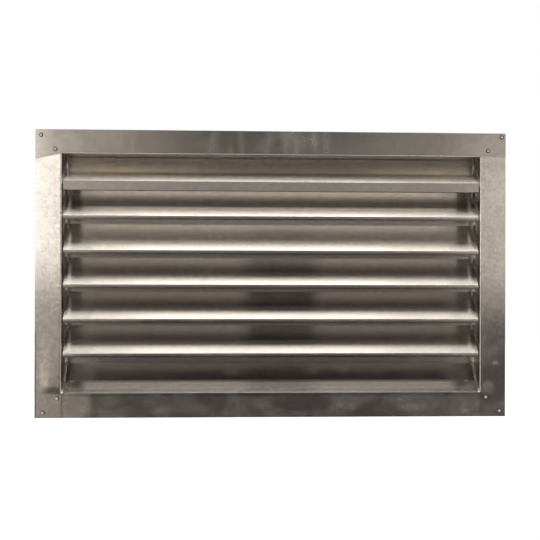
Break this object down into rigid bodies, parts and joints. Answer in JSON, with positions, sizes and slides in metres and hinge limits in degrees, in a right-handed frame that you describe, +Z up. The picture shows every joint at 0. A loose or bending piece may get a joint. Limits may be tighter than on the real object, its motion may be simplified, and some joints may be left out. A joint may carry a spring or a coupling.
{
  "type": "louvred gable vent",
  "caption": "Rectangular galvanised sheet-steel wall vent: riveted flanged frame with fixed sloping louvre blades that pass air and shed rain.",
  "frame": {"origin": "middle of the bottom flange's back face, which lies on the wall", "axes": "+Z up, +X to the right seen from the front, +Y into the wall; the front faces -Y"},
  "size_m": [0.685, 0.0346, 0.4161],
  "materials": {
    "galvanised_sheet": "galvanised mill finish, smudged",
    "rivet_metal": "satin",
    "screen_wire": "galvanised wire"
  },
  "bodies": {
    "root": {"head": "galvanised_sheet", "sill": "galvanised_sheet", "left_jamb": "galvanised_sheet", "right_jamb": "galvanised_sheet", "louvre_blade_1": "galvanised_sheet", "louvre_blade_2": "galvanised_sheet", "louvre_blade_3": "galvanised_sheet", "louvre_blade_4": "galvanised_sheet", "louvre_blade_5": "galvanised_sheet", "louvre_blade_6": "galvanised_sheet", "corner_rivets": "rivet_metal", "screen": "screen_wire"}
  },
  "joints": []
}
